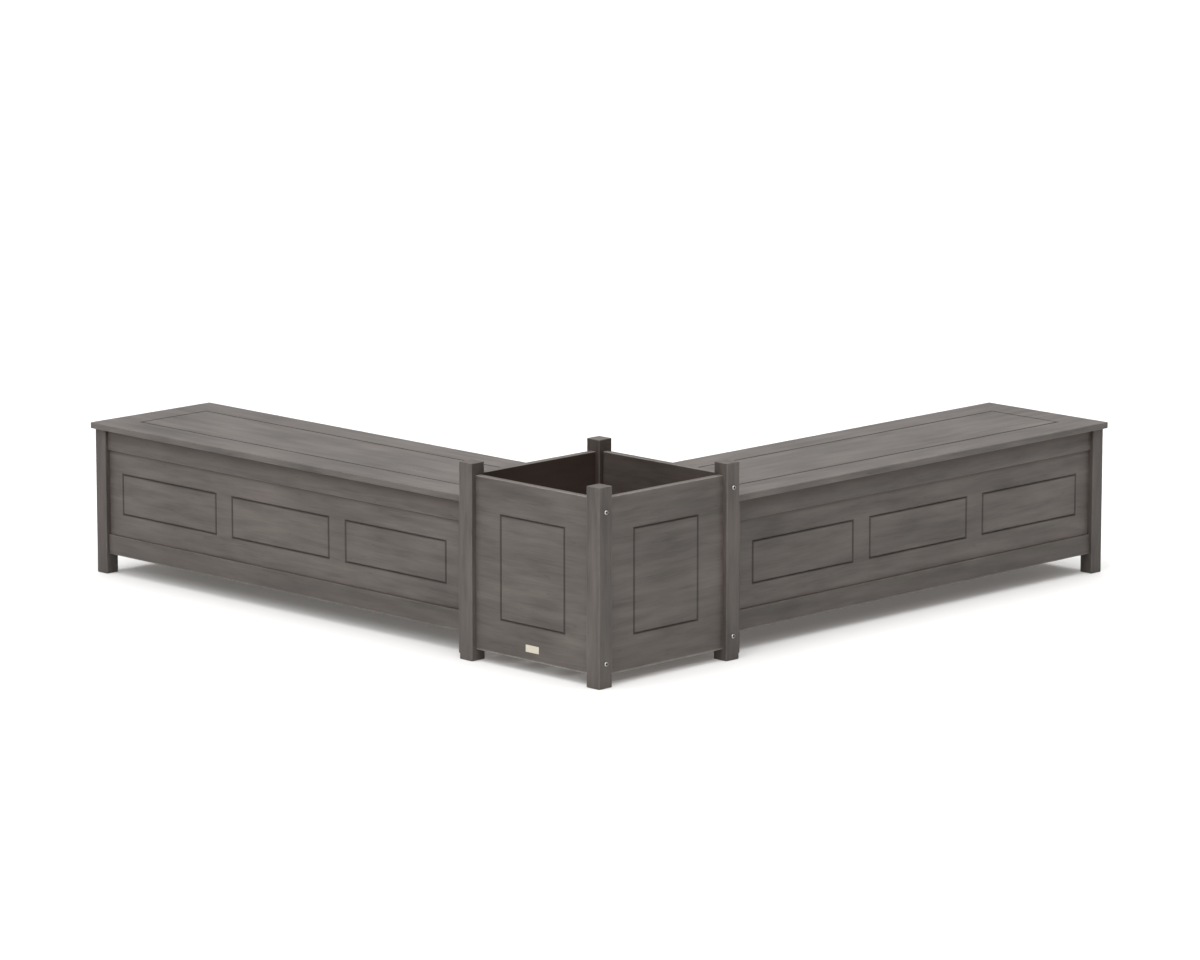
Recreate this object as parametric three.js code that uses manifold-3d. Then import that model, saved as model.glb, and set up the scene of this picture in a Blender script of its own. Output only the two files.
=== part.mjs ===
// Corner seating set in wood-grained plastic lumber: a square planter with a long backless bench on
// each of its two rear sides. Millimetres, +Z up. Seen from in front of the planter's outer corner,
// the right bench runs along +X and the left bench along +Y. The origin is on the floor, in the
// middle of the square that the whole set fits in.

import * as THREE from 'three';
import { mergeVertices } from 'three/addons/utils/BufferGeometryUtils.js';
import Module from 'manifold-3d';

const wasm = await Module();
wasm.setup();

// Clearances
const JOINT_GAP = 0.3; // between two pieces that meet
const CUT_OVERRUN = 5; // how far a cutter passes the face that it opens

// Planter posts and panels
const PLANTER_WIDTH = 552; // over the outer faces of the posts
const POST_WIDTH = 51;
const POST_HEIGHT = 561.5;
const POST_EDGE_RADIUS = 4;
const POST_END_RADIUS = 2;
const PLANTER_PANEL_THICKNESS = 20;
const PLANTER_PANEL_BOTTOM = 32.5; // height above the floor
const PLANTER_PANEL_TOP = 527.5;
const PLANTER_PANEL_EDGE_RADIUS = 3;
const PLANTER_GROOVE_SIDE_INSET = 100;
const PLANTER_GROOVE_END_INSET = 100;
const TONGUE_THICKNESS = 8; // where a panel is let into a post or a rail
const TONGUE_LENGTH = 8;
const TONGUE_SHOULDER = 12; // how far a post tongue stops short of the panel's top and bottom

// Decorative V grooves, cut as rectangles into the broad faces
const GROOVE_WIDTH = 7;
const GROOVE_DEPTH = 3.5;

// Planter floor
const FLOOR_CLEAT_WIDTH = 25;
const FLOOR_CLEAT_HEIGHT = 25;
const FLOOR_CLEAT_RISE = 12.5; // above the bottom edge of the panel that carries it
const FLOOR_SLAT_COUNT = 4;
const FLOOR_SLAT_THICKNESS = 16;
const FLOOR_SLAT_GAP = 10; // lets water drain
const SMALL_EDGE_RADIUS = 2; // on cleats, slats, battens and ledgers

// Bolts that join the two glued planter frames
const BOLT_HEAD_RADIUS = 6.2;
const BOLT_HEAD_HEIGHT = 3.6;
const BOLT_SHANK_RADIUS = 3;
const BOLT_GRIP = 38; // length of shank inside the end of a panel
const BOLT_PANEL_INSET = 36.5; // from the panel's top and bottom edges
const BOLT_SOCKET_RADIUS = 2.6; // hexagon socket, to its corners
const BOLT_SOCKET_DEPTH = 2;
const BORE_CLEARANCE = 0.4;
const ROUND_SEGMENTS = 12;

// Bench seat
const SEAT_LENGTH = 1627;
const SEAT_WIDTH = 471;
const SEAT_THICKNESS = 19;
const SEAT_HEIGHT = 455; // top of the seat above the floor
const SEAT_CORNER_RADIUS = 4;
const SEAT_EDGE_RADIUS = 2.5;
const SEAT_PLANTER_GAP = 2; // between the seat's end and the planter's posts
const SEAT_GROOVE_INSET = 107;
const SEAT_SIDE_OVERHANG = 11;
const SEAT_END_OVERHANG = 9;
const SEAT_PLANTER_OVERHANG = 11; // the seat reaches past the near legs to the planter

// Bench legs, aprons, rails and panels
const LEG_WIDTH = 45;
const LEG_EDGE_RADIUS = 4;
const LEG_END_RADIUS = 2;
const RAIL_THICKNESS = 25;
const RAIL_HEIGHT = 59.5;
const RAIL_CLEARANCE = 60; // from the floor to the underside of the bottom rails
const RAIL_EDGE_RADIUS = 2.5;
const APRON_HEIGHT = 61;
const BENCH_PANEL_THICKNESS = 11;
const BENCH_GROOVE_COUNT = 3;
const BENCH_GROOVE_SPACING = 72;
const BENCH_GROOVE_NEAR_INSET = 67.5; // from the legs next to the planter
const BENCH_GROOVE_FAR_INSET = 59.5; // from the legs at the far end
const BENCH_GROOVE_EDGE_INSET = 67.5; // from the apron above and the rail below
const BATTEN_COUNT = 2;
const BATTEN_WIDTH = 60;
const BATTEN_HEIGHT = 30;
const LEDGER_HEIGHT = 40;
const LEDGER_SIDE_GAP = 5; // between the ledger's end and the planter's posts

// Round corners are built from this many straight steps
const EDGE_STEPS = 3;
const END_STEPS = 2;

// Places that several pieces share
const planterHalf = PLANTER_WIDTH / 2;
const postCentre = planterHalf - POST_WIDTH / 2;
const postInnerFace = planterHalf - POST_WIDTH;
const planterPanelLength = 2 * (postInnerFace - JOINT_GAP);
const planterPanelHeight = PLANTER_PANEL_TOP - PLANTER_PANEL_BOTTOM;
const planterPanelOuterFace = postCentre + PLANTER_PANEL_THICKNESS / 2;
const planterPanelInnerFace = postCentre - PLANTER_PANEL_THICKNESS / 2;
const seatNearEnd = planterHalf + SEAT_PLANTER_GAP;
const seatFarEnd = seatNearEnd + SEAT_LENGTH;
const seatUnderside = SEAT_HEIGHT - SEAT_THICKNESS;
const frameTop = seatUnderside - JOINT_GAP;
const nearLegCentre = seatNearEnd + SEAT_PLANTER_OVERHANG + LEG_WIDTH / 2;
const farLegCentre = seatFarEnd - SEAT_END_OVERHANG - LEG_WIDTH / 2;
const sideLegCentre = SEAT_WIDTH / 2 - SEAT_SIDE_OVERHANG - LEG_WIDTH / 2;
const apronBottom = frameTop - APRON_HEIGHT;
const railTop = RAIL_CLEARANCE + RAIL_HEIGHT;

const lumber = new THREE.MeshStandardMaterial({ color: 0x6b6661, roughness: 0.62, metalness: 0 });
const stainless = new THREE.MeshStandardMaterial({ color: 0xc4c3be, roughness: 0.3, metalness: 1 });

// A closed manifold solid from a three.js geometry
function solid(geometry) {
  const bare = geometry.clone();
  bare.deleteAttribute('normal');
  bare.deleteAttribute('uv');
  const merged = mergeVertices(bare);
  const vertProperties = new Float32Array(merged.attributes.position.array);
  const triVerts = new Uint32Array(merged.index.array);
  return new wasm.Manifold(new wasm.Mesh({ numProp: 3, vertProperties, triVerts }));
}

// A three.js geometry from a manifold solid
function geometryOf(shape) {
  const mesh = shape.getMesh();
  const geometry = new THREE.BufferGeometry();
  geometry.setAttribute('position', new THREE.BufferAttribute(mesh.vertProperties, 3));
  geometry.setIndex(new THREE.BufferAttribute(mesh.triVerts, 1));
  return geometry;
}

// The board with every cutter taken out of it
function cut(geometry, cutters) {
  const whole = solid(geometry);
  return geometryOf(cutters.reduce((shape, cutter) => shape.subtract(solid(cutter)), whole));
}

// Outline of a rectangle with round corners, centred on the origin
function roundedRectangle(width, height, radius) {
  const right = width / 2;
  const top = height / 2;
  const outline = new THREE.Shape();
  outline.absarc(right - radius, top - radius, radius, 0, Math.PI / 2);
  outline.absarc(radius - right, top - radius, radius, Math.PI / 2, Math.PI);
  outline.absarc(radius - right, radius - top, radius, Math.PI, 1.5 * Math.PI);
  outline.absarc(right - radius, radius - top, radius, 1.5 * Math.PI, 2 * Math.PI);
  return outline;
}

// A block that stands on z = 0, with round upright edges and rounded top and bottom edges
function roundedBlock(width, depth, height, edgeRadius, endRadius) {
  const block = new THREE.ExtrudeGeometry(roundedRectangle(width, depth, edgeRadius), {
    depth: height - 2 * endRadius,
    curveSegments: EDGE_STEPS,
    bevelThickness: endRadius,
    bevelSize: endRadius,
    bevelOffset: -endRadius,
    bevelSegments: END_STEPS,
  });
  return block.translate(0, 0, endRadius);
}

// A board on edge along X, standing on z = 0, with rounded long edges and square-cut ends
function board(length, thickness, height, edgeRadius) {
  const plank = new THREE.ExtrudeGeometry(roundedRectangle(thickness, height, edgeRadius), {
    depth: length,
    curveSegments: EDGE_STEPS,
    bevelEnabled: false,
  });
  plank.translate(0, height / 2, -length / 2);
  const alongX = new THREE.Vector3(1, 0, 0);
  const acrossY = new THREE.Vector3(0, 1, 0);
  const upZ = new THREE.Vector3(0, 0, 1);
  return plank.applyMatrix4(new THREE.Matrix4().makeBasis(acrossY, upZ, alongX));
}

// A cutter for a V groove round a rectangle: three mitred rings of four corners each, the outer and
// inner rims raised past the surface at z = 0 and the root at the groove's depth below it
function grooveCutter(width, height) {
  const rim = (GROOVE_WIDTH / 2) * (1 + CUT_OVERRUN / GROOVE_DEPTH);
  const rings = [[rim, CUT_OVERRUN], [0, -GROOVE_DEPTH], [-rim, CUT_OVERRUN]];
  const corners = [[-1, -1], [1, -1], [1, 1], [-1, 1]];
  const places = [];
  for (const [spread, z] of rings) {
    for (const [sideX, sideY] of corners) {
      places.push(sideX * (width / 2 + spread), sideY * (height / 2 + spread), z);
    }
  }
  const faces = [];
  for (let ring = 0; ring < rings.length; ring += 1) {
    for (let corner = 0; corner < corners.length; corner += 1) {
      const nextRing = (ring + 1) % rings.length;
      const nextCorner = (corner + 1) % corners.length;
      const a = ring * corners.length + corner;
      const b = ring * corners.length + nextCorner;
      const c = nextRing * corners.length + nextCorner;
      const d = nextRing * corners.length + corner;
      faces.push(a, d, c, a, c, b);
    }
  }
  const cutter = new THREE.BufferGeometry();
  cutter.setAttribute('position', new THREE.Float32BufferAttribute(places, 3));
  cutter.setIndex(faces);
  return cutter;
}

// The same cutter for an upright board along X, on its face towards -Y
function frontGrooveCutter(width, height, x, faceY, z) {
  return grooveCutter(width, height).rotateX(Math.PI / 2).translate(x, faceY, z);
}

function cylinderAlongX(radius, length) {
  return new THREE.CylinderGeometry(radius, radius, length, ROUND_SEGMENTS).rotateZ(Math.PI / 2);
}

// A planter panel along X, outer face towards -Y, with its groove rectangle
function planterPanelBlank() {
  const blank = board(planterPanelLength, PLANTER_PANEL_THICKNESS, planterPanelHeight,
    PLANTER_PANEL_EDGE_RADIUS);
  const groove = frontGrooveCutter(
    2 * postInnerFace - 2 * PLANTER_GROOVE_SIDE_INSET,
    planterPanelHeight - 2 * PLANTER_GROOVE_END_INSET,
    0, -PLANTER_PANEL_THICKNESS / 2, planterPanelHeight / 2);
  return cut(blank, [groove]);
}

// A panel whose ends are let into the posts with a tongue
function tonguedPlanterPanel() {
  const tongue = new THREE.BoxGeometry(planterPanelLength + 2 * TONGUE_LENGTH, TONGUE_THICKNESS,
    planterPanelHeight - 2 * TONGUE_SHOULDER);
  tongue.translate(0, 0, planterPanelHeight / 2);
  return geometryOf(solid(planterPanelBlank()).add(solid(tongue)));
}

// A panel that is bolted between the posts, with a blind bore for each bolt
function boltedPlanterPanel() {
  const reach = BOLT_GRIP + BORE_CLEARANCE;
  const bores = [];
  for (const side of [-1, 1]) {
    for (const z of [BOLT_PANEL_INSET, planterPanelHeight - BOLT_PANEL_INSET]) {
      const bore = cylinderAlongX(BOLT_SHANK_RADIUS + BORE_CLEARANCE, reach + CUT_OVERRUN);
      const x = side * (planterPanelLength / 2 - reach / 2 + CUT_OVERRUN / 2);
      bores.push(bore.translate(x, 0, z));
    }
  }
  return cut(planterPanelBlank(), bores);
}

// A corner post. Its glued panel comes in along X from the side panelSide, and its bolts pass along Y
function planterPost(panelSide) {
  const slotDepth = TONGUE_LENGTH + JOINT_GAP;
  const slot = new THREE.BoxGeometry(slotDepth + CUT_OVERRUN, TONGUE_THICKNESS + 2 * JOINT_GAP,
    planterPanelHeight - 2 * TONGUE_SHOULDER + 2 * JOINT_GAP);
  const slotX = panelSide * (POST_WIDTH / 2 - slotDepth / 2 + CUT_OVERRUN / 2);
  slot.translate(slotX, 0, (PLANTER_PANEL_TOP + PLANTER_PANEL_BOTTOM) / 2);
  const bores = boltHeights().map((z) => {
    const bore = cylinderAlongX(BOLT_SHANK_RADIUS + BORE_CLEARANCE, POST_WIDTH + 2 * CUT_OVERRUN);
    return bore.rotateZ(Math.PI / 2).translate(0, 0, z);
  });
  const blank = roundedBlock(POST_WIDTH, POST_WIDTH, POST_HEIGHT, POST_EDGE_RADIUS, POST_END_RADIUS);
  return cut(blank, [slot, ...bores]);
}

function boltHeights() {
  return [PLANTER_PANEL_BOTTOM + BOLT_PANEL_INSET, PLANTER_PANEL_TOP - BOLT_PANEL_INSET];
}

// A button-head bolt along -Y from the seat of its head, turned from a profile, with a hexagon socket
function frameBolt() {
  const shankEnd = -(POST_WIDTH + JOINT_GAP + BOLT_GRIP);
  const dome = new THREE.Path();
  dome.moveTo(0, shankEnd);
  dome.lineTo(BOLT_SHANK_RADIUS, shankEnd);
  dome.lineTo(BOLT_SHANK_RADIUS, 0);
  dome.lineTo(BOLT_HEAD_RADIUS, 0);
  dome.quadraticCurveTo(BOLT_HEAD_RADIUS, BOLT_HEAD_HEIGHT, BOLT_SOCKET_RADIUS, BOLT_HEAD_HEIGHT);
  dome.lineTo(0, BOLT_HEAD_HEIGHT);
  const body = new THREE.LatheGeometry(dome.getPoints(EDGE_STEPS), ROUND_SEGMENTS);
  const socket = new THREE.CylinderGeometry(BOLT_SOCKET_RADIUS, BOLT_SOCKET_RADIUS,
    BOLT_SOCKET_DEPTH + CUT_OVERRUN, 6);
  socket.translate(0, BOLT_HEAD_HEIGHT - BOLT_SOCKET_DEPTH / 2 + CUT_OVERRUN / 2, 0);
  return cut(body, [socket]);
}

function named(name, geometry, material, x, y, z) {
  const mesh = new THREE.Mesh(geometry, material);
  mesh.name = name;
  mesh.position.set(x, y, z);
  return mesh;
}

function addPosts(planter) {
  const posts = [['corner', -1, -1], ['right', 1, -1], ['left', -1, 1], ['rear', 1, 1]];
  for (const [place, sideX, sideY] of posts) {
    planter.add(named(`planter_post_${place}`, planterPost(-sideX), lumber,
      sideX * postCentre, sideY * postCentre, 0));
    boltHeights().forEach((z, row) => {
      const bolt = named(`planter_bolt_${place}_${row === 0 ? 'low' : 'high'}`, frameBolt(), stainless,
        sideX * postCentre, sideY * (planterHalf + JOINT_GAP), z);
      bolt.rotation.x = sideY < 0 ? Math.PI : 0;
      planter.add(bolt);
    });
  }
}

function addPlanterPanels(planter) {
  const sides = [
    ['front_right', tonguedPlanterPanel(), 0],
    ['rear_right', boltedPlanterPanel(), 1],
    ['rear_left', tonguedPlanterPanel(), 2],
    ['front_left', boltedPlanterPanel(), 3],
  ];
  for (const [place, geometry, quarterTurns] of sides) {
    const side = new THREE.Group();
    side.rotation.z = quarterTurns * (Math.PI / 2);
    side.add(named(`planter_panel_${place}`, geometry, lumber, 0, -postCentre, PLANTER_PANEL_BOTTOM));
    planter.add(side);
  }
}

// Two cleats on the bolted panels carry slats that span between them
function addPlanterFloor(planter) {
  const cleatZ = PLANTER_PANEL_BOTTOM + FLOOR_CLEAT_RISE;
  const cleatX = planterPanelInnerFace - JOINT_GAP - FLOOR_CLEAT_WIDTH / 2;
  for (const [place, side] of [['left', -1], ['right', 1]]) {
    const cleat = board(planterPanelLength, FLOOR_CLEAT_WIDTH, FLOOR_CLEAT_HEIGHT, SMALL_EDGE_RADIUS);
    planter.add(named(`planter_floor_cleat_${place}`, cleat.rotateZ(Math.PI / 2), lumber,
      side * cleatX, 0, cleatZ));
  }
  const slatLength = 2 * (planterPanelInnerFace - JOINT_GAP);
  const slatWidth = (planterPanelLength - (FLOOR_SLAT_COUNT - 1) * FLOOR_SLAT_GAP) / FLOOR_SLAT_COUNT;
  for (let i = 0; i < FLOOR_SLAT_COUNT; i += 1) {
    const slat = board(slatLength, slatWidth, FLOOR_SLAT_THICKNESS, SMALL_EDGE_RADIUS);
    const y = (i - (FLOOR_SLAT_COUNT - 1) / 2) * (slatWidth + FLOOR_SLAT_GAP);
    planter.add(named(`planter_floor_slat_${i + 1}`, slat, lumber, 0, y,
      cleatZ + FLOOR_CLEAT_HEIGHT + JOINT_GAP));
  }
}

// The seat: one wide board with round corners and a groove rectangle in its top
function addSeat(bench, name) {
  const blank = roundedBlock(SEAT_LENGTH, SEAT_WIDTH, SEAT_THICKNESS, SEAT_CORNER_RADIUS,
    SEAT_EDGE_RADIUS);
  const groove = grooveCutter(SEAT_LENGTH - 2 * SEAT_GROOVE_INSET, SEAT_WIDTH - 2 * SEAT_GROOVE_INSET);
  const seat = cut(blank, [groove.translate(0, 0, SEAT_THICKNESS)]);
  bench.add(named(`${name}_seat`, seat, lumber, (seatNearEnd + seatFarEnd) / 2, 0, seatUnderside));
}

function addLegs(bench, name) {
  for (const [end, x] of [['near', nearLegCentre], ['far', farLegCentre]]) {
    for (const [side, sideY] of [['front', -1], ['back', 1]]) {
      const leg = roundedBlock(LEG_WIDTH, LEG_WIDTH, frameTop, LEG_EDGE_RADIUS, LEG_END_RADIUS);
      bench.add(named(`${name}_leg_${end}_${side}`, leg, lumber, x, sideY * sideLegCentre, 0));
    }
  }
}

// An apron or rail between two legs, with a slot along one edge for the edge of a thin panel
function slottedRail(length, height, slotAtTop) {
  const slotDepth = TONGUE_LENGTH + JOINT_GAP;
  const slot = new THREE.BoxGeometry(length + 2 * CUT_OVERRUN, BENCH_PANEL_THICKNESS + 2 * JOINT_GAP,
    slotDepth + CUT_OVERRUN);
  const edge = slotAtTop ? height - slotDepth / 2 + CUT_OVERRUN / 2 : slotDepth / 2 - CUT_OVERRUN / 2;
  return cut(board(length, RAIL_THICKNESS, height, RAIL_EDGE_RADIUS), [slot.translate(0, 0, edge)]);
}

// A thin panel let into the apron above and the rail below, with its groove rectangles side by side
// and their insets from the legs at its -X and +X ends
function benchPanel(length, grooveCount, insets) {
  const height = apronBottom - railTop + 2 * TONGUE_LENGTH;
  const bare = length + 2 * JOINT_GAP - insets[0] - insets[1];
  const middle = (insets[0] - insets[1]) / 2;
  const grooveLength = (bare - (grooveCount - 1) * BENCH_GROOVE_SPACING) / grooveCount;
  const grooveHeight = apronBottom - railTop - 2 * BENCH_GROOVE_EDGE_INSET;
  const cutters = [];
  for (let i = 0; i < grooveCount; i += 1) {
    const x = middle + (i - (grooveCount - 1) / 2) * (grooveLength + BENCH_GROOVE_SPACING);
    const faceY = -BENCH_PANEL_THICKNESS / 2;
    cutters.push(frontGrooveCutter(grooveLength, grooveHeight, x, faceY, height / 2));
  }
  const blank = new THREE.BoxGeometry(length, BENCH_PANEL_THICKNESS, height).translate(0, 0, height / 2);
  return cut(blank, cutters);
}

// One side of a bench, along X, its outer face towards -Y: apron, rail and the panel between them
function addBenchSide(side, name, length, grooveCount, insets) {
  const panelZ = railTop - TONGUE_LENGTH;
  side.add(named(`${name}_apron`, slottedRail(length, APRON_HEIGHT, false), lumber, 0, 0, apronBottom));
  side.add(named(`${name}_rail`, slottedRail(length, RAIL_HEIGHT, true), lumber, 0, 0, RAIL_CLEARANCE));
  side.add(named(`${name}_panel`, benchPanel(length, grooveCount, insets), lumber, 0, 0, panelZ));
}

function addBenchSides(bench, name) {
  const longLength = farLegCentre - nearLegCentre - LEG_WIDTH - 2 * JOINT_GAP;
  const shortLength = 2 * sideLegCentre - LEG_WIDTH - 2 * JOINT_GAP;
  const middle = (nearLegCentre + farLegCentre) / 2;
  const near = BENCH_GROOVE_NEAR_INSET;
  const far = BENCH_GROOVE_FAR_INSET;
  for (const [place, sideY, insets] of [['front', -1, [near, far]], ['back', 1, [far, near]]]) {
    const side = new THREE.Group();
    side.position.set(middle, sideY * sideLegCentre, 0);
    side.rotation.z = sideY < 0 ? 0 : Math.PI;
    addBenchSide(side, `${name}_${place}`, longLength, BENCH_GROOVE_COUNT, insets);
    bench.add(side);
  }
  const end = new THREE.Group();
  end.position.set(farLegCentre, 0, 0);
  end.rotation.z = Math.PI / 2;
  addBenchSide(end, `${name}_end`, shortLength, 1, [far, far]);
  bench.add(end);

  // The end next to the planter stays open between its apron and its rail
  const plain = (height) => {
    const plank = board(shortLength, RAIL_THICKNESS, height, RAIL_EDGE_RADIUS);
    return plank.rotateZ(Math.PI / 2);
  };
  bench.add(named(`${name}_planter_apron`, plain(APRON_HEIGHT), lumber, nearLegCentre, 0, apronBottom));
  bench.add(named(`${name}_planter_rail`, plain(RAIL_HEIGHT), lumber, nearLegCentre, 0, RAIL_CLEARANCE));
}

// Battens across the frame stiffen the seat from below
function addBattens(bench, name) {
  const length = 2 * (sideLegCentre - RAIL_THICKNESS / 2 - JOINT_GAP);
  const span = farLegCentre - nearLegCentre;
  for (let i = 1; i <= BATTEN_COUNT; i += 1) {
    const batten = board(length, BATTEN_WIDTH, BATTEN_HEIGHT, SMALL_EDGE_RADIUS).rotateZ(Math.PI / 2);
    const x = nearLegCentre + (i * span) / (BATTEN_COUNT + 1);
    bench.add(named(`${name}_batten_${i}`, batten, lumber, x, 0, frameTop - BATTEN_HEIGHT));
  }
}

// A ledger between the planter's posts ties the bench to the planter and carries the seat's end
function addLedger(bench, name) {
  const nearFace = planterPanelOuterFace + JOINT_GAP;
  const farFace = nearLegCentre - LEG_WIDTH / 2 - JOINT_GAP;
  const length = 2 * (postInnerFace - LEDGER_SIDE_GAP);
  const ledger = board(length, farFace - nearFace, LEDGER_HEIGHT, SMALL_EDGE_RADIUS);
  const x = (nearFace + farFace) / 2;
  const z = frameTop - LEDGER_HEIGHT;
  bench.add(named(`${name}_ledger`, ledger.rotateZ(Math.PI / 2), lumber, x, 0, z));
}

function makeBench(name) {
  const bench = new THREE.Group();
  addSeat(bench, name);
  addLegs(bench, name);
  addBenchSides(bench, name);
  addBattens(bench, name);
  addLedger(bench, name);
  return bench;
}

function makePlanter() {
  const planter = new THREE.Group();
  addPosts(planter);
  addPlanterPanels(planter);
  addPlanterFloor(planter);
  return planter;
}

const rightBench = makeBench('right_bench');
const leftBench = makeBench('left_bench');
leftBench.rotation.z = Math.PI / 2;

const cornerSet = new THREE.Group();
const boltReach = BOLT_HEAD_HEIGHT + JOINT_GAP;
cornerSet.position.set((planterHalf - seatFarEnd) / 2, (planterHalf + boltReach - seatFarEnd) / 2, 0);
cornerSet.add(makePlanter(), rightBench, leftBench);

export default cornerSet;
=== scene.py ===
"""Finished look of a corner seating set: a square planter with a long backless bench on two sides.

Everything is in metres, +Z up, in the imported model's own frame. Seen from the camera, the right
bench runs along +X and the left bench along +Y.
"""
import logging
import math
from collections.abc import Iterable, Mapping, Sequence
from dataclasses import dataclass, field, replace
from enum import Enum
from typing import Any, Union

import bpy
import numpy as np
from mathutils import Euler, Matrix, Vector


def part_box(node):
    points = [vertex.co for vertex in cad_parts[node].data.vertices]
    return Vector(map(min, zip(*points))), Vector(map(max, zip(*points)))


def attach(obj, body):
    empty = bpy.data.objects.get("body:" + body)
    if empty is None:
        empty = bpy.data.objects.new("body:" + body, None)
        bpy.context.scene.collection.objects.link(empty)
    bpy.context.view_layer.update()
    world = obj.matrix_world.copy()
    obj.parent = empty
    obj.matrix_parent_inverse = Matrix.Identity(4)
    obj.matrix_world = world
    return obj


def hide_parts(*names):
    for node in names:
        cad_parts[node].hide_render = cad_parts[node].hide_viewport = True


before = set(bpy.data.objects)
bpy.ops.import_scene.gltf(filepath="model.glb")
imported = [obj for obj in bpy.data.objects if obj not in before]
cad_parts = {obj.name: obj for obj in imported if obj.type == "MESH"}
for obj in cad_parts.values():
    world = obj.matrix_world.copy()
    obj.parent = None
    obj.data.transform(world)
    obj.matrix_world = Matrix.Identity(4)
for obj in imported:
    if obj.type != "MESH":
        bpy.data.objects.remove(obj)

log = logging.getLogger("corner_set")

Colour = tuple[float, float, float]
Triple = tuple[float, float, float]
Pair = tuple[float, float]
# A side of a block: the axis that it faces along, and 1 or -1.
Side = tuple[int, int]
Value = Union["Wire", float]

BODY = "root"
X, Y, Z = range(3)
OPAQUE = 1.0
NOISE_MEAN = 0.5
DIAGONAL = math.sqrt(0.5)
# A fade of painted shade with no strength, with any reach.
NO_SHADE_FADE = (0.0, 1.0)
# Vertices whose places in metres agree to this many digits are one.
MERGE_DIGITS = 7
# A grid cell is flat where its corners are this near to one plane, in metres.
FLAT_WITHIN = 1e-9
# A side's even painted shade ends where its rounded edge slopes by this much.
SHADE_SLOPE = 0.5
# Just under 1, so that the vertices on the upper line of the highlight hem, a painted highlight strip, stay
# without it.
HIGHLIGHT_HEM_SHARE = 0.999
# A solid's corners are taken to this many digits of a metre, which is a micrometre.
BOX_DIGITS = 6
# Factors that take a place's part along Y away.
WITHOUT_Y = (1.0, 0.0, 1.0)
# The Mix node's sockets for colours share their names with others, so they go by number.
MIX_FACTOR, MIX_FIRST, MIX_SECOND, MIX_RESULT = 0, 6, 7, 2
# Edges that turn by more than this stay crisp.
SHARP_ANGLE = math.radians(35.0)


class Grain(Enum):
    """The way the grain of a board runs, with the turn that brings that way onto +X."""

    ALONG_X = (0.0, 0.0, 0.0)
    ALONG_Y = (0.0, 0.0, -math.pi / 2)
    ALONG_Z = (0.0, math.pi / 2, 0.0)


def grain_along(axis: int) -> Grain:
    """The grain that runs along an axis."""
    return (Grain.ALONG_X, Grain.ALONG_Y, Grain.ALONG_Z)[axis]


@dataclass(frozen=True)
class Streaks:
    """Noise drawn out by its own factor along each axis, with its share in a board's tone."""

    stretch: Triple
    share: float
    detail: float = 2.0
    roughness: float = 0.5


class Wire:
    """A shader node's output, which takes part in sums as a number does."""

    def __init__(self, graph: "Graph", socket: bpy.types.NodeSocket) -> None:
        """Keep the socket and the graph that new nodes go into."""
        self.graph = graph
        self.socket = socket

    def __add__(self, other: Value) -> "Wire":
        """Sum of two values."""
        return self.graph.maths("ADD", self, other)

    def __radd__(self, other: Value) -> "Wire":
        """Sum of two values."""
        return self.graph.maths("ADD", other, self)

    def __sub__(self, other: Value) -> "Wire":
        """Difference of two values."""
        return self.graph.maths("SUBTRACT", self, other)

    def __rsub__(self, other: Value) -> "Wire":
        """Difference of two values."""
        return self.graph.maths("SUBTRACT", other, self)

    def __mul__(self, other: Value) -> "Wire":
        """Product of two values."""
        return self.graph.maths("MULTIPLY", self, other)

    def __rmul__(self, other: Value) -> "Wire":
        """Product of two values."""
        return self.graph.maths("MULTIPLY", other, self)

    def __pow__(self, other: Value) -> "Wire":
        """A value raised to a power."""
        return self.graph.maths("POWER", self, other)

    def __rpow__(self, other: Value) -> "Wire":
        """A value raised to a power."""
        return self.graph.maths("POWER", other, self)

    def wave(self) -> "Wire":
        """A wave between 0 and 1, of a value in radians."""
        return self.graph.maths("SINE", self) * 0.5 + 0.5

    def between(self, low: float, high: float) -> "Wire":
        """A smooth rise from 0 to 1. With low above high, it rises downwards.

        Args:
            low: the value where the rise starts.
            high: the value where it ends.

        Returns:
            The rise.
        """
        settings = {"interpolation_type": "SMOOTHSTEP"}
        inputs = {"Value": self, "From Min": low, "From Max": high}
        return self.graph.wire("ShaderNodeMapRange", "Result", settings, inputs)


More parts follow.
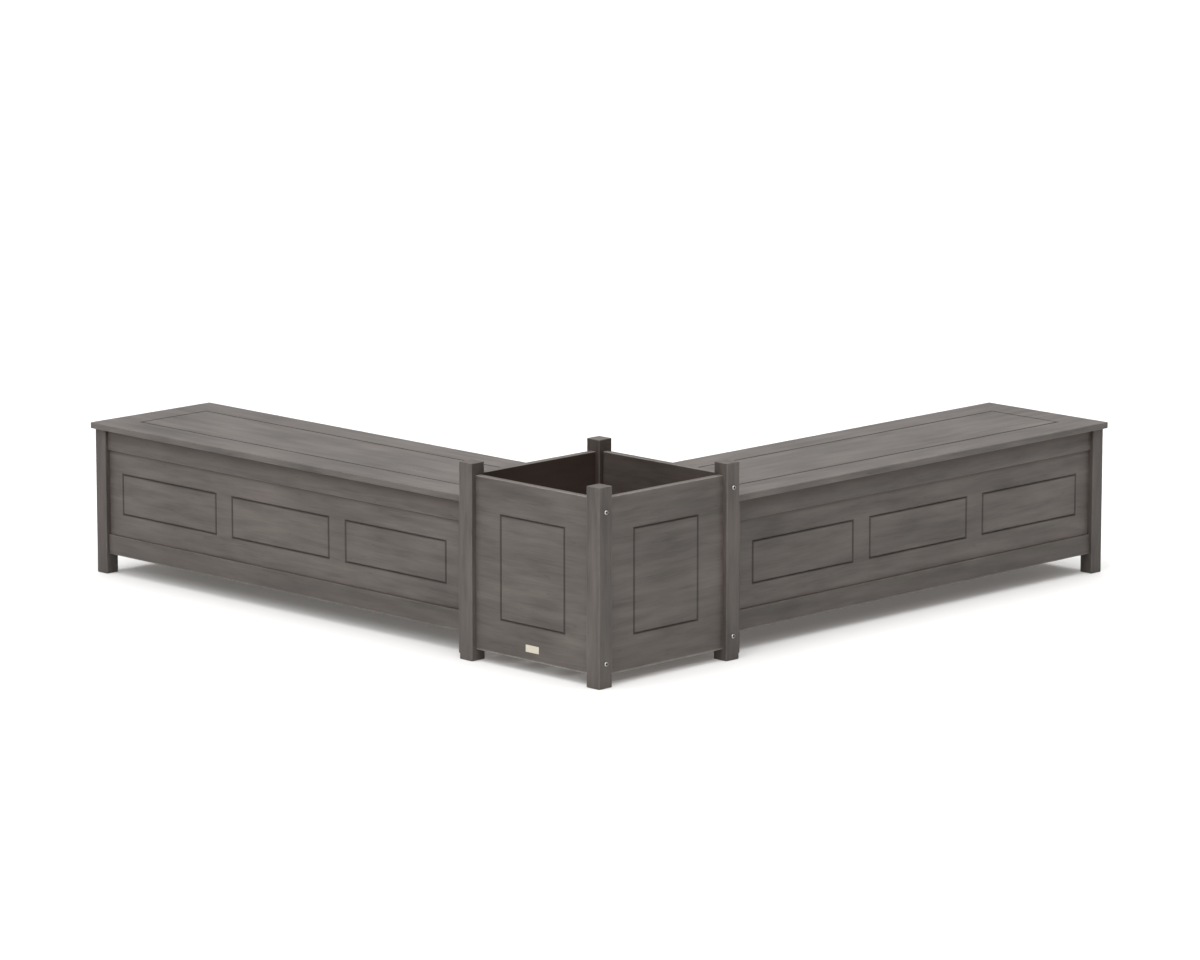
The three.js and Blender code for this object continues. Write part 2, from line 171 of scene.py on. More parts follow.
class Graph:
    """The node tree of one material or of the world."""

    def __init__(self, tree: bpy.types.NodeTree) -> None:
        """Take over a tree and empty it."""
        self.tree = tree
        self.tree.nodes.clear()

    def node(self, kind: str, settings: Mapping[str, Any] | None = None,
             inputs: Mapping[str, Any] | None = None) -> bpy.types.Node:
        """Add a node.

        Args:
            kind: Blender's name for the node's type.
            settings: the node's own properties, set before its inputs.
            inputs: a value, or a wire to link, for each named socket.

        Returns:
            The new node.
        """
        made = self.tree.nodes.new(kind)
        for name, value in (settings or {}).items():
            setattr(made, name, value)
        for name, value in (inputs or {}).items():
            self.feed(made.inputs[name], value)
        return made

    def feed(self, socket: bpy.types.NodeSocket, value: Any) -> None:
        """Link a wire to a socket, or set the socket to a plain value.

        Args:
            socket: the socket.
            value: the wire or the value.
        """
        if isinstance(value, Wire):
            self.tree.links.new(value.socket, socket)
        else:
            socket.default_value = value

    def wire(self, kind: str, output: str, settings: Mapping[str, Any] | None = None,
             inputs: Mapping[str, Any] | None = None) -> Wire:
        """Add a node and return one of its outputs."""
        return Wire(self, self.node(kind, settings, inputs).outputs[output])

    def worked(self, kind: str, output: str, operation: str, values: Sequence[Any]) -> Wire:
        """Add a node that works on its inputs in turn.

        Args:
            kind: Blender's name for the node's type.
            output: the output's name.
            operation: Blender's name for the operation.
            values: a value or a wire for each input.

        Returns:
            The output.
        """
        made = self.node(kind, {"operation": operation})
        for socket, value in zip(made.inputs, values):
            self.feed(socket, value)
        return Wire(self, made.outputs[output])

    def maths(self, operation: str, *values: Value) -> Wire:
        """Add a Math node on one or two values."""
        return self.worked("ShaderNodeMath", "Value", operation, values)

    def mix(self, factor: Value, first: Any, second: Any) -> Wire:
        """Mix two colours.

        Args:
            factor: 0 gives the first colour, 1 the second.
            first: a colour or a wire.
            second: a colour or a wire.

        Returns:
            The mixed colour.
        """
        made = self.node("ShaderNodeMix", {"data_type": "RGBA", "blend_type": "MIX"})
        for number, value in ((MIX_FACTOR, factor), (MIX_FIRST, first), (MIX_SECOND, second)):
            self.feed(made.inputs[number], value)
        return Wire(self, made.outputs[MIX_RESULT])

    def placed(self, turn: Triple = (0.0, 0.0, 0.0), shift: Triple = (0.0, 0.0, 0.0)) -> Wire:
        """Object coordinates, turned and then moved.

        Args:
            turn: the turn about X, Y and Z.
            shift: the move along X, Y and Z.

        Returns:
            The place.
        """
        place = self.wire("ShaderNodeTexCoord", "Object")
        inputs = {"Vector": place, "Rotation": turn, "Location": shift}
        return self.wire("ShaderNodeMapping", "Vector", {"vector_type": "POINT"}, inputs)

    def stretched(self, place: Wire, stretch: Triple) -> Wire:
        """A place scaled by its own factor along each axis."""
        return self.worked("ShaderNodeVectorMath", "Vector", "MULTIPLY", (place, stretch))

    def moved(self, place: Wire, shift: Wire) -> Wire:
        """A place moved by another vector."""
        return self.worked("ShaderNodeVectorMath", "Vector", "ADD", (place, shift))

    def length(self, vector: Wire) -> Wire:
        """Length of a vector."""
        return self.worked("ShaderNodeVectorMath", "Value", "LENGTH", (vector,))

    def noise(self, place: Wire, scale: float = 1.0, detail: float = 2.0, roughness: float = 0.5,
              output: str = "Fac") -> Wire:
        """Noise of mean 0.5 at a place, as a number or, from the output Color, as a vector."""
        inputs = {"Vector": place, "Scale": scale, "Detail": detail, "Roughness": roughness}
        return self.wire("ShaderNodeTexNoise", output, {"noise_dimensions": "3D"}, inputs)

    def streaks(self, place: Wire, kind: Streaks) -> Wire:
        """Drawn-out noise of mean 0.5 at a place."""
        return self.noise(self.stretched(place, kind.stretch), 1.0, kind.detail, kind.roughness)

    def attribute(self, name: str) -> Wire:
        """A number that the mesh holds for each vertex."""
        return self.wire("ShaderNodeAttribute", "Fac", {"attribute_name": name})

    def bump(self, height: Wire, strength: float, distance: float) -> Wire:
        """A normal from a height between 0 and 1, where 1 stands for the distance, in metres."""
        inputs = {"Height": height, "Strength": strength, "Distance": distance}
        return self.wire("ShaderNodeBump", "Normal", None, inputs)

    def surface(self, inputs: Mapping[str, Any]) -> None:
        """End a material in one Principled shader with these inputs."""
        shader = self.wire("ShaderNodeBsdfPrincipled", "BSDF", None, inputs)
        self.node("ShaderNodeOutputMaterial", None, {"Surface": shader})


def new_graph(name: str) -> tuple[bpy.types.Material, Graph]:
    """A new material and the graph that fills it.

    Args:
        name: the material's name.

    Returns:
        The material, and its empty graph.
    """
    material = bpy.data.materials.new(name)
    material.use_nodes = True
    return material, Graph(material.node_tree)


def opaque(colour: Colour) -> tuple[float, float, float, float]:
    """A colour with full alpha."""
    return (*colour, OPAQUE)


@dataclass(frozen=True)
class Lumber:
    """Wood-grained grey-brown lumber.

    The grain is noise drawn out along the board: broad bands that wander, fine fibres, and short
    dark flecks. Grooves are darker at the root, which is painted shade. Rounded edges are rubbed paler;
    on the panels and rails these paler edges and a strip at the foot are a painted highlight. Ledges,
    the planter's inside, the rear post and the boards right under a seat or an apron get painted shade.
    """

    light: Colour = (0.160, 0.140, 0.127)
    dark: Colour = (0.028, 0.024, 0.021)
    recess_shade: Colour = (0.015, 0.010, 0.007)
    wear_and_highlight: Colour = (0.230, 0.205, 0.187)
    painted_shade: Colour = (0.035, 0.018, 0.010)
    band: Streaks = Streaks((4.5, 36.0, 36.0), 0.80, 3.0, 0.55)
    fibre: Streaks = Streaks((8.0, 240.0, 240.0), 0.42, 3.0, 0.65)
    blotch: Streaks = Streaks((4.0, 7.0, 7.0), 0.60)
    fleck: Streaks = Streaks((26.0, 190.0, 190.0), 0.30, 1.0)
    fleck_rise: Pair = (0.66, 0.80)
    wander_stretch: Triple = (2.2, 4.5, 4.5)
    wander_reach: Triple = (0.0, 0.03, 0.03)
    start_range: float = 40.0
    edge_wear_and_highlight: float = 0.25
    patch_scale: float = 30.0
    patch_rise: Pair = (0.3, 0.7)
    patch_share: float = 0.5
    recess_shade_share: float = 0.95
    recess_shade_power: float = 0.6
    roughness: float = 0.52
    fibre_roughness: float = 0.25
    cavity_roughness: float = 0.2
    fibre_height: float = 0.6
    band_height: float = 0.4
    relief: float = 0.0004
    relief_strength: float = 0.5
    refraction: float = 1.46

    def material(self, name: str, grain: Grain, seed: int) -> bpy.types.Material:
        """Make the finish for one board.

        Args:
            name: the board's name.
            grain: the way the board's grain runs.
            seed: picks another stretch of the pattern for each board.

        Returns:
            The material.
        """
        material, graph = new_graph(f"lumber_{name}")
        draw = np.random.default_rng(seed)
        start = tuple(float(v) for v in draw.uniform(-self.start_range, self.start_range, 3))
        place = graph.placed(grain.value, start)
        wander = graph.noise(graph.stretched(place, self.wander_stretch), output="Color")
        bent = graph.moved(place, graph.stretched(wander, self.wander_reach))
        band = graph.streaks(bent, self.band)
        fibre = graph.streaks(bent, self.fibre)
        blotch = graph.streaks(place, self.blotch)
        fleck = graph.streaks(bent, self.fleck).between(*self.fleck_rise)
        tone = (NOISE_MEAN + (band - NOISE_MEAN) * self.band.share + (fibre - NOISE_MEAN) * self.fibre.share
                + (blotch - NOISE_MEAN) * self.blotch.share)
        colour = graph.mix(tone, opaque(self.dark), opaque(self.light))
        colour = graph.mix(fleck * self.fleck.share, colour, opaque(self.dark))
        patches = graph.noise(place, self.patch_scale).between(*self.patch_rise)
        patches = patches * self.patch_share + (1.0 - self.patch_share)
        # Rounded edges are rubbed paler; on panels and rails the paler edges and the foot's strip are a
        # painted highlight.
        wear_and_highlight = graph.attribute("edge") * patches * self.edge_wear_and_highlight
        colour = graph.mix(wear_and_highlight, colour, opaque(self.wear_and_highlight))
        # Painted shade on ledges, the planter's inside, the rear post and under the seat and the aprons.
        colour = graph.mix(graph.attribute("painted_shade"), colour, opaque(self.painted_shade))
        # Painted shade in the grooves and their halos, and in the bolts' sockets.
        recess_darkness = graph.attribute("recess_shade") ** self.recess_shade_power * self.recess_shade_share
        colour = graph.mix(recess_darkness, colour, opaque(self.recess_shade))
        rough = (self.roughness + (fibre - NOISE_MEAN) * self.fibre_roughness
                 + recess_darkness * self.cavity_roughness)
        height = fibre * self.fibre_height + band * self.band_height
        normal = graph.bump(height, self.relief_strength, self.relief)
        graph.surface({"Base Color": colour, "Roughness": rough, "Normal": normal, "IOR": self.refraction})
        return material

    def toned(self, shares: Colour) -> "Lumber":
        """The same finish with both its tones multiplied by a share for each of red, green and blue."""
        light, dark = (tuple(np.multiply(tone, shares).tolist()) for tone in (self.light, self.dark))
        return replace(self, light=light, dark=dark)


@dataclass(frozen=True)
class Stainless:
    """Turned stainless steel with fine rings round the bolt's axis; its socket and the head's underside are
    painted dark as painted shade, with a random mottle of grime.
    """

    colour: Colour = (0.62, 0.61, 0.59)
    grime_and_shade: Colour = (0.004, 0.0034, 0.003)
    roughness: float = 0.28
    ring_pitch: float = 0.0006
    ring_roughness: float = 0.08
    ring_relief: float = 0.00005
    ring_strength: float = 0.2
    mottle_scale: float = 900.0
    mottle_rise: Pair = (0.62, 0.8)
    mottle_share: float = 0.06
    socket_shade: float = 0.94
    grime_roughness: float = 0.3
    grime_dullness: float = 0.4

    def material(self, name: str, centre: Vector) -> bpy.types.Material:
        """Make the finish for one bolt.

        Args:
            name: the bolt's name.
            centre: a place on its axis, which runs along Y.

        Returns:
            The material.
        """
        material, graph = new_graph(f"stainless_{name}")
        place = graph.placed(shift=(-centre.x, 0.0, -centre.z))
        radius = graph.length(graph.stretched(place, WITHOUT_Y))
        ring = (radius * (math.tau / self.ring_pitch)).wave()
        mottle = graph.noise(place, self.mottle_scale).between(*self.mottle_rise)
        # Painted shade in the socket and under the head, plus a random mottle of grime.
        grime_and_shade = graph.attribute("recess_shade") * self.socket_shade + mottle * self.mottle_share
        colour = graph.mix(grime_and_shade, opaque(self.colour), opaque(self.grime_and_shade))
        rough = self.roughness + ring * self.ring_roughness + grime_and_shade * self.grime_roughness
        normal = graph.bump(ring, self.ring_strength, self.ring_relief)
        metal = 1.0 - grime_and_shade * self.grime_dullness
        graph.surface({"Base Color": colour, "Metallic": metal, "Roughness": rough, "Normal": normal})
        return material


@dataclass(frozen=True)
class PlatePaint:
    """Cream lacquer on a small plate, a little dusty towards its rim."""

    colour: Colour = (0.60, 0.56, 0.45)
    dust: Colour = (0.36, 0.32, 0.25)
    roughness: float = 0.38
    rim_dust: float = 0.5
    cloud_scale: float = 160.0
    cloud_detail: float = 3.0
    cloud_rise: Pair = (0.45, 0.8)
    cloud_dust: float = 0.25
    cloud_roughness: float = 0.15
    grit_scale: float = 2200.0
    grit_strength: float = 0.2
    grit_relief: float = 0.00004

    def material(self, name: str) -> bpy.types.Material:
        """Make the finish for the plate.

        Args:
            name: the plate's name.

        Returns:
            The material.
        """
        material, graph = new_graph(f"paint_{name}")
        place = graph.placed()
        cloud = graph.noise(place, self.cloud_scale, self.cloud_detail)
        dust = graph.attribute("edge") * self.rim_dust + cloud.between(*self.cloud_rise) * self.cloud_dust
        colour = graph.mix(dust, opaque(self.colour), opaque(self.dust))
        rough = self.roughness + cloud * self.cloud_roughness
        normal = graph.bump(graph.noise(place, self.grit_scale), self.grit_strength, self.grit_relief)
        graph.surface({"Base Color": colour, "Roughness": rough, "Normal": normal})
        return material


@dataclass(frozen=True)
class Groove:
    """A V groove run round a rectangle on a face, by the rectangle's middle and half sizes."""

    middle: Pair
    half: Pair
    width: float = 0.007
    depth: float = 0.0035
    # The halo is painted shade round the groove's line.
    shade_halo: float = 0.001

    @property
    def reach(self) -> float:
        """How far from the groove's line its halo of painted shade goes."""
        return self.width / 2 + self.shade_halo

    def distance(self, first: np.ndarray, second: np.ndarray) -> np.ndarray:
        """Distance to the groove's line.

        It is the larger of |a| - half a and |b| - half b, without its sign, so places of the same
        distance lie on rectangles with mitred corners.

        Args:
            first: places along the face's first axis.
            second: places along its second axis.

        Returns:
            Distance at each place.
        """
        gap_first = np.abs(first - self.middle[0]) - self.half[0]
        gap_second = np.abs(second - self.middle[1]) - self.half[1]
        return np.abs(np.maximum(gap_first, gap_second))

    def depths(self, first: np.ndarray, second: np.ndarray) -> np.ndarray:
        """Depth at places on the face, falling evenly from the line to 0 at the groove's rim."""
        return self.depth * np.clip(1.0 - self.distance(first, second) / (self.width / 2), 0.0, 1.0)

    def darkness(self, first: np.ndarray, second: np.ndarray) -> np.ndarray:
        """1 on the groove's line, falling evenly to 0 at the rim of its halo of painted shade."""
        return np.clip(1.0 - self.distance(first, second) / self.reach, 0.0, 1.0)

    def lines(self, position: int) -> np.ndarray:
        """Places where a grid has to have a line for the groove.

        Args:
            position: 0 for the face's first axis, 1 for its second.

        Returns:
            Halo of painted shade, rims and root of the groove's two sides that cross that axis.
        """
        ends = self.middle[position] + np.array([-1.0, 1.0]) * self.half[position]
        rim = self.width / 2
        return (ends[:, None] + np.array([-self.reach, -rim, 0.0, rim, self.reach])).ravel()


@dataclass
class Shell:
    """Vertices and faces of a surface, with numbers for the finish at each vertex."""

    points: np.ndarray
    faces: list[np.ndarray]
    marks: dict[str, np.ndarray] = field(default_factory=dict)

    def merged(self) -> "Shell":
        """The same shell with vertices at one place made one.

        Returns:
            A shell in which neighbouring patches share their vertices.
        """
        rounded = np.round(self.points, MERGE_DIGITS)
        _, keep, back = np.unique(rounded, axis=0, return_index=True, return_inverse=True)
        back = back.reshape(-1)
        faces = [back[block] for block in self.faces]
        return Shell(self.points[keep], faces, {name: mark[keep] for name, mark in self.marks.items()})


def joined(shells: Iterable[Shell]) -> Shell:
    """One shell out of several, with their faces renumbered.

    Args:
        shells: shells with the same marks.

    Returns:
        The shell that holds them all.
    """
    points, faces, marks, start = [], [], {}, 0
    for shell in shells:
        points.append(shell.points)
        faces += [block + start for block in shell.faces]
        for name, mark in shell.marks.items():
            marks.setdefault(name, []).append(mark)
        start += len(shell.points)
    return Shell(np.concatenate(points), faces, {name: np.concatenate(mark) for name, mark in marks.items()})


def edge_stations(core: float, cuts: np.ndarray, steps: int) -> tuple[np.ndarray, np.ndarray]:
    """Places along one axis of a block and how far round its edge each lies.

    The slope is tan(t), with t from -45 to 0 degrees before the straight core and from 0 to 45
    degrees after it. On the core it is 0.

    Args:
        core: half the length of the straight part.
        cuts: further places on the straight part.
        steps: steps in 45 degrees.

    Returns:
        The places, and the slopes.
    """
    turn = np.tan(np.linspace(0.0, np.pi / 4, steps + 1))
    inner = np.unique(cuts[np.abs(cuts) < core])
    places = np.concatenate([np.full(steps + 1, -core), inner, np.full(steps + 1, core)])
    slopes = np.concatenate([-turn[::-1], np.zeros(len(inner)), turn])
    return places, slopes


def grid_faces(rows: int, columns: int, heights: np.ndarray) -> list[np.ndarray]:
    """Faces of a grid of vertices, row by row.

    A cell whose four heights aren't in one plane is cut along the diagonal whose ends differ more,
    which is the crease at a groove's corner.

    Args:
        rows: number of rows of vertices.
        columns: number of columns of vertices.
        heights: height at each vertex, rows by columns.

    Returns:
        An array of quads and an array of triangles.
    """
    number = np.arange(rows * columns).reshape(rows, columns)
    quads = np.stack([number[:-1, :-1], number[1:, :-1], number[1:, 1:], number[:-1, 1:]], -1).reshape(-1, 4)
    level = heights.ravel()[quads]
    one, other = level[:, 2] - level[:, 0], level[:, 3] - level[:, 1]
    creased = np.abs(level[:, 0] + level[:, 2] - level[:, 1] - level[:, 3]) > FLAT_WITHIN
    turned = np.where((np.abs(one) >= np.abs(other))[:, None], quads, np.roll(quads, -1, axis=1))[creased]
    triangles = np.concatenate([turned[:, [0, 1, 2]], turned[:, [0, 2, 3]]])
    return [quads[~creased], triangles]


@dataclass
class Block:
    """A block with rounded edges, and V grooves in some faces.

    Its surface is that of a smaller core box with an ellipsoid's surface rolled over it: the point
    for a direction n is the core's corner, edge or face in that direction plus radii * n. The highlight
    hem is a paler strip round the block's foot, a painted highlight, and a fade is painted shade that
    weakens downwards.
    """

    low: np.ndarray
    high: np.ndarray
    radii: Triple
    grooves: Mapping[Side, Sequence[Groove]] = field(default_factory=dict)
    painted_shades: Mapping[Side, float] = field(default_factory=dict)
    shade_fades: Mapping[Side, Pair] = field(default_factory=dict)
    highlight_hem: float = 0.0
    steps: int = 3

    @property
    def middle(self) -> np.ndarray:
        """Middle of the block."""
        return (self.low + self.high) / 2

    @property
    def half(self) -> np.ndarray:
        """Half the block's size along each axis."""
        return (self.high - self.low) / 2

    def cuts(self) -> list[np.ndarray]:
        """Places that the grid needs for grooves, painted shade fades and the highlight hem.

        Returns:
            Places along X, Y and Z, from the block's middle.
        """
        found: list[list[np.ndarray]] = [[np.zeros(0)] for _ in (X, Y, Z)]
        for _, reach in self.shade_fades.values():
            found[Z].append(self.half[Z] - np.array([reach, reach / 2]))
        if self.highlight_hem:
            found[Z].append(np.array([self.highlight_hem]) - self.half[Z])
        for side, grooves in self.grooves.items():
            for position, along in enumerate(face_axes(*side)):
                found[along] += [groove.lines(position) for groove in grooves]
        return [np.concatenate(places) for places in found]

    def wear_and_highlight_share(self, bend: np.ndarray, heights: np.ndarray) -> np.ndarray:
        """How rubbed paler, or painted with a highlight, vertices are: by their slope round the edges, and
        fully in the highlight hem, which is a painted highlight.

        Args:
            bend: slope at each vertex.
            heights: its height from the block's middle.

        Returns:
            A share between 0 and 1 for each vertex.
        """
        if not self.highlight_hem:
            return bend
        return np.maximum(bend, heights < self.highlight_hem * HIGHLIGHT_HEM_SHARE - self.half[Z])

    def painted_shade_share(self, side: Side, bend: np.ndarray, heights: np.ndarray) -> np.ndarray:
        """How strongly painted shade darkens the vertices of a side.

        The even painted shade covers the side's flat. A fade of painted shade falls evenly from its
        strength at the side's top edge to nothing at its reach below it.

        Args:
            side: the side.
            bend: slope at each vertex.
            heights: its height from the block's middle.

        Returns:
            A share between 0 and 1 for each vertex.
        """
        even = np.where(bend < SHADE_SLOPE, self.painted_shades.get(side, 0.0), 0.0)
        strength, reach = self.shade_fades.get(side, NO_SHADE_FADE)
        drop = self.half[Z] - heights
        return np.maximum(even, strength * np.clip(1.0 - drop / reach, 0.0, 1.0))

    def face(self, side: Side, cuts: Sequence[np.ndarray]) -> Shell:
        """One of the block's six sides, out to the middle of the rounded edges.

        Args:
            side: the side.
            cuts: places that the grid needs along each axis.

        Returns:
            The side's patch.
        """
        axis, way = side
        core = self.half - np.array(self.radii)
        first, second = face_axes(axis, way)
        places_first, slopes_first = edge_stations(core[first], cuts[first], self.steps)
        places_second, slopes_second = edge_stations(core[second], cuts[second], self.steps)
        along, across = np.meshgrid(places_first, places_second, indexing="ij")
        normal = np.zeros((*along.shape, 3))
        normal[..., first], normal[..., second] = np.meshgrid(slopes_first, slopes_second, indexing="ij")
        normal[..., axis] = way
        bend = np.maximum(np.abs(normal[..., first]), np.abs(normal[..., second]))
        normal /= np.linalg.norm(normal, axis=-1, keepdims=True)
        point = normal * np.array(self.radii)
        point[..., first] += along
        point[..., second] += across
        point[..., axis] += way * core[axis]
        depth = np.zeros(along.shape)
        dark = np.zeros(along.shape)
        for groove in self.grooves.get(side, ()):
            depth += groove.depths(along, across)
            dark = np.maximum(dark, groove.darkness(along, across))
        point[..., axis] -= way * depth
        heights = point[..., Z]
        # The marks: edges rubbed paler and painted highlight, painted shade in the grooves, and painted
        # shade on shaded sides and under top edges.
        marks = {"edge": self.wear_and_highlight_share(bend, heights).ravel(), "recess_shade": dark.ravel(),
                 "painted_shade": self.painted_shade_share(side, bend, heights).ravel()}
        return Shell((point + self.middle).reshape(-1, 3), grid_faces(*along.shape, depth), marks)

    def shell(self) -> Shell:
        """The whole closed surface."""
        cuts = self.cuts()
        return joined(self.face((axis, way), cuts) for axis in (X, Y, Z) for way in (-1, 1)).merged()


def face_axes(axis: int, side: int) -> tuple[int, int]:
    """The two axes of a block's side, in the order that turns its faces outwards."""
    first, second = (axis + 1) % 3, (axis + 2) % 3
    return (first, second) if side > 0 else (second, first)


@dataclass(frozen=True)
class Bolt:
    """A button-head bolt along +Y whose head's crown touches Y = 0.

    Every ring of the surface is (r(t) sin t, y, r(t) cos t) for t from 0 to a full turn. On turned
    rings r is constant. On the socket's rings it is the hexagon, r(t) = a / cos(t - the nearest
    flat's direction), where a is half the width across flats.
    """

    head_radius: float
    length: float
    head_height: float = 0.0036
    head_edge: float = 0.0006
    shank_radius: float = 0.003
    socket_flat: float = 0.0034
    socket_chamfer: float = 0.0004
    socket_depth: float = 0.0026
    # Painted shade under the head's rim; the socket's rings are painted fully dark as painted shade.
    underside_shade: float = 0.4
    dome_steps: int = 6
    round_steps: int = 48

    @property
    def turns(self) -> np.ndarray:
        """Directions round the axis, in radians."""
        return np.linspace(0.0, math.tau, self.round_steps, endpoint=False)

    @property
    def hexagon(self) -> np.ndarray:
        """Radius of the socket's outline in each direction."""
        return self.socket_flat / np.cos((self.turns + np.pi / 6) % (np.pi / 3) - np.pi / 6)

    def rings(self) -> list[tuple[np.ndarray, float, float]]:
        """Every ring, from the shank's end to the socket's floor.

        The dome's rings lie on a quarter of an ellipse from the head's side to the socket's rim.

        Returns:
            Radius, place along Y and share of painted shade of each ring.
        """
        same = np.ones(self.round_steps)
        crown = self.head_height - self.head_edge
        rings = [(same * self.shank_radius, self.length, 0.0),
                 (same * self.shank_radius, self.head_height, 0.0),
                 (same * self.head_radius, self.head_height, self.underside_shade),
                 (same * self.head_radius, crown, 0.0)]
        rim = self.socket_flat / math.cos(math.pi / 6) + self.socket_chamfer
        for turned in np.linspace(0.0, math.pi / 2, self.dome_steps + 1)[1:]:
            radius = rim + (self.head_radius - rim) * math.cos(turned)
            rings.append((same * radius, crown * (1.0 - math.sin(turned)), 0.0))
        return rings + [(self.hexagon, self.socket_chamfer, 1.0), (self.hexagon, self.socket_depth, 1.0)]

    def shell(self) -> Shell:
        """The bolt's surface, with a fan at each end.

        Returns:
            The closed surface.
        """
        rings = self.rings()
        sines, cosines = np.sin(self.turns), np.cos(self.turns)
        points = [np.stack([radius * sines, np.full(len(sines), along), radius * cosines], -1)
                  for radius, along, _ in rings]
        ends = np.array([[0.0, self.length, 0.0], [0.0, self.socket_depth, 0.0]])
        count, size = len(rings), self.round_steps
        number = np.arange(count * size).reshape(count, size)
        after = np.roll(number, -1, axis=1)
        quads = np.stack([number[:-1], number[1:], after[1:], after[:-1]], -1).reshape(-1, 4)
        first, last = count * size, count * size + 1
        fans = np.concatenate([np.stack([np.full(size, first), number[0], after[0]], -1),
                               np.stack([np.full(size, last), after[-1], number[-1]], -1)])
        # The socket and the head's underside get painted shade.
        recess_darkness = np.concatenate([np.full(size, share) for _, _, share in rings] + [np.array([0.0, 1.0])])
        return Shell(np.concatenate(points + [ends]), [quads, fans], {"recess_shade": recess_darkness})


def add_mesh(name: str, shell: Shell, material: bpy.types.Material) -> bpy.types.Object:
    """Put a shell into the scene as a smooth-shaded piece that rides on the body.

    Args:
        name: the piece's name.
        shell: its closed surface.
        material: its finish.

    Returns:
        The new object, at the origin.
    """
    mesh = bpy.data.meshes.new(name)
    faces = [face for block in shell.faces for face in block.tolist()]
    mesh.from_pydata(shell.points.tolist(), [], faces)
    for mark, values in shell.marks.items():
        layer = mesh.attributes.new(mark, "FLOAT", "POINT")
        layer.data.foreach_set("value", values.astype(np.float32))
    mesh.shade_smooth()
    mesh.set_sharp_from_angle(angle=SHARP_ANGLE)
    mesh.materials.append(material)
    piece = bpy.data.objects.new(name, mesh)
    bpy.context.scene.collection.objects.link(piece)
    even = piece.modifiers.new("even_shading", "WEIGHTED_NORMAL")
    even.keep_sharp = True
    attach(piece, BODY)
    log.info("%s: %d vertices", name, len(shell.points))
    return piece


def node_box(node: str) -> tuple[np.ndarray, np.ndarray]:
    """Lowest and highest corner of a solid, to a micrometre."""
    low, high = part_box(node)
    return np.round(np.array(low, float), BOX_DIGITS), np.round(np.array(high, float), BOX_DIGITS)


def seed_of(name: str) -> int:
    """A number that is always the same for a name."""
    return sum((place + 1) * ord(letter) for place, letter in enumerate(name))


def board_radii(run: int, end: float, edge: float) -> Triple:
    """Edge radii of a board that runs along an axis, at its ends and along its length."""
    return tuple(end if axis == run else edge for axis in (X, Y, Z))


def crossing(axis: int) -> int:
    """The other one of X and Y."""
    return Y if axis == X else X


@dataclass
class Carpentry:
    """What the sub-assemblies share: boards that take the place of solids, and dressed solids."""

    lumber: Lumber = field(default_factory=Lumber)
    panel_tone: Colour = (0.95, 0.926, 0.907)
    # Strength of the painted shade in the panels' grooves.
    groove_shade: float = 0.68

    def board(self, node: str, grain: Grain, radii: Triple, slot: str,
              grooves: Mapping[Side, Sequence[Groove]] | None = None,
              painted_shades: Mapping[Side, float] | None = None, shade_fades: Mapping[Side, Pair] | None = None,
              highlight_hem: float = 0.0, lumber: Lumber | None = None) -> None:
        """A rounded board in the place of a solid.

        Args:
            node: the solid's name.
            grain: the way its grain runs.
            radii: how far its edges are rounded along X, Y and Z.
            slot: the record's material slot; not used.
            grooves: the grooves in each side that has any.
            painted_shades: how strongly painted shade darkens each shaded side.
            shade_fades: strength and reach of the painted shade under a side's top edge.
            highlight_hem: height of the painted highlight strip round the board's foot.
            lumber: its finish, where it isn't the common one.
        """
        low, high = node_box(node)
        shell = Block(low, high, radii, grooves or {}, painted_shades or {}, shade_fades or {}, highlight_hem).shell()
        finish = (lumber or self.lumber).material(node, grain, seed_of(node))
        piece = add_mesh(f"{node}_finished", shell, finish)
        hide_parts(node)

    def dress(self, node: str, grain: Grain) -> None:
        """Give a solid that stays its own finish.

        Args:
            node: the solid's name.
            grain: the way its grain runs.
        """
        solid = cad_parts[node]
        solid.data.materials.clear()
        solid.data.materials.append(self.lumber.material(node, grain, seed_of(node)))
        log.info("%s: dressed", node)


